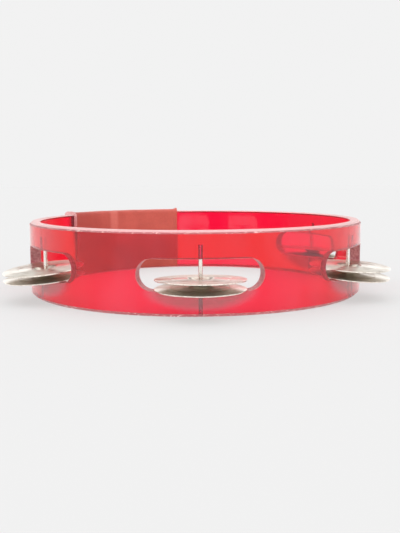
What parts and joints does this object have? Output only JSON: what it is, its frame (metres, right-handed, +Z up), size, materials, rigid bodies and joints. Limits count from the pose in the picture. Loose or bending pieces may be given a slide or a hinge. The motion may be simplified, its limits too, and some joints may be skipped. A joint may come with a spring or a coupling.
{
  "type": "tambourine",
  "caption": "Headless hand tambourine: a clear ring with rounded slots, loose metal jingles on upright pins, and a leather grip folded over its rim.",
  "frame": {"origin": "on the ring's axis, in the plane of its bottom rim", "axes": "+Z up along the ring's axis, +Y towards the grip, +X across the ring so that the jingle slots mirror across the YZ plane"},
  "size_m": [0.2442, 0.2119, 0.0443],
  "materials": {
    "acrylic": "clear red acrylic, polished round faces and frosted sawn and milled faces",
    "leather": "smooth reddish-brown leather with a fine grain and pale cut edges",
    "pin_steel": "drawn steel wire",
    "jingle_metal": "bright nickel-plated stamped steel"
  },
  "bodies": {
    "ring": {"ring": "acrylic", "grip_wrap": "leather", "pin_1": "pin_steel", "pin_2": "pin_steel", "pin_3": "pin_steel", "pin_4": "pin_steel"},
    "jingle_1_lower": {"jingle_1_lower": "jingle_metal"},
    "jingle_1_upper": {"jingle_1_upper": "jingle_metal"},
    "jingle_2_lower": {"jingle_2_lower": "jingle_metal"},
    "jingle_2_upper": {"jingle_2_upper": "jingle_metal"},
    "jingle_3_lower": {"jingle_3_lower": "jingle_metal"},
    "jingle_3_upper": {"jingle_3_upper": "jingle_metal"},
    "jingle_4_lower": {"jingle_4_lower": "jingle_metal"},
    "jingle_4_upper": {"jingle_4_upper": "jingle_metal"}
  },
  "joints": [
    {"name": "jingle_1_lower_lift", "type": "slide", "parent": "ring", "child": "jingle_1_lower", "axis": [0, 0, 1], "range_m": [0, 0.0046]},
    {"name": "jingle_1_upper_lift", "type": "slide", "parent": "jingle_1_lower", "child": "jingle_1_upper", "axis": [0, 0, 1], "range_m": [0, 0.0046]},
    {"name": "jingle_2_lower_lift", "type": "slide", "parent": "ring", "child": "jingle_2_lower", "axis": [0, 0, 1], "range_m": [0, 0.0046]},
    {"name": "jingle_2_upper_lift", "type": "slide", "parent": "jingle_2_lower", "child": "jingle_2_upper", "axis": [0, 0, 1], "range_m": [0, 0.0046]},
    {"name": "jingle_3_lower_lift", "type": "slide", "parent": "ring", "child": "jingle_3_lower", "axis": [0, 0, 1], "range_m": [0, 0.0046]},
    {"name": "jingle_3_upper_lift", "type": "slide", "parent": "jingle_3_lower", "child": "jingle_3_upper", "axis": [0, 0, 1], "range_m": [0, 0.0046]},
    {"name": "jingle_4_lower_lift", "type": "slide", "parent": "ring", "child": "jingle_4_lower", "axis": [0, 0, 1], "range_m": [0, 0.0046]},
    {"name": "jingle_4_upper_lift", "type": "slide", "parent": "jingle_4_lower", "child": "jingle_4_upper", "axis": [0, 0, 1], "range_m": [0, 0.0046]}
  ]
}
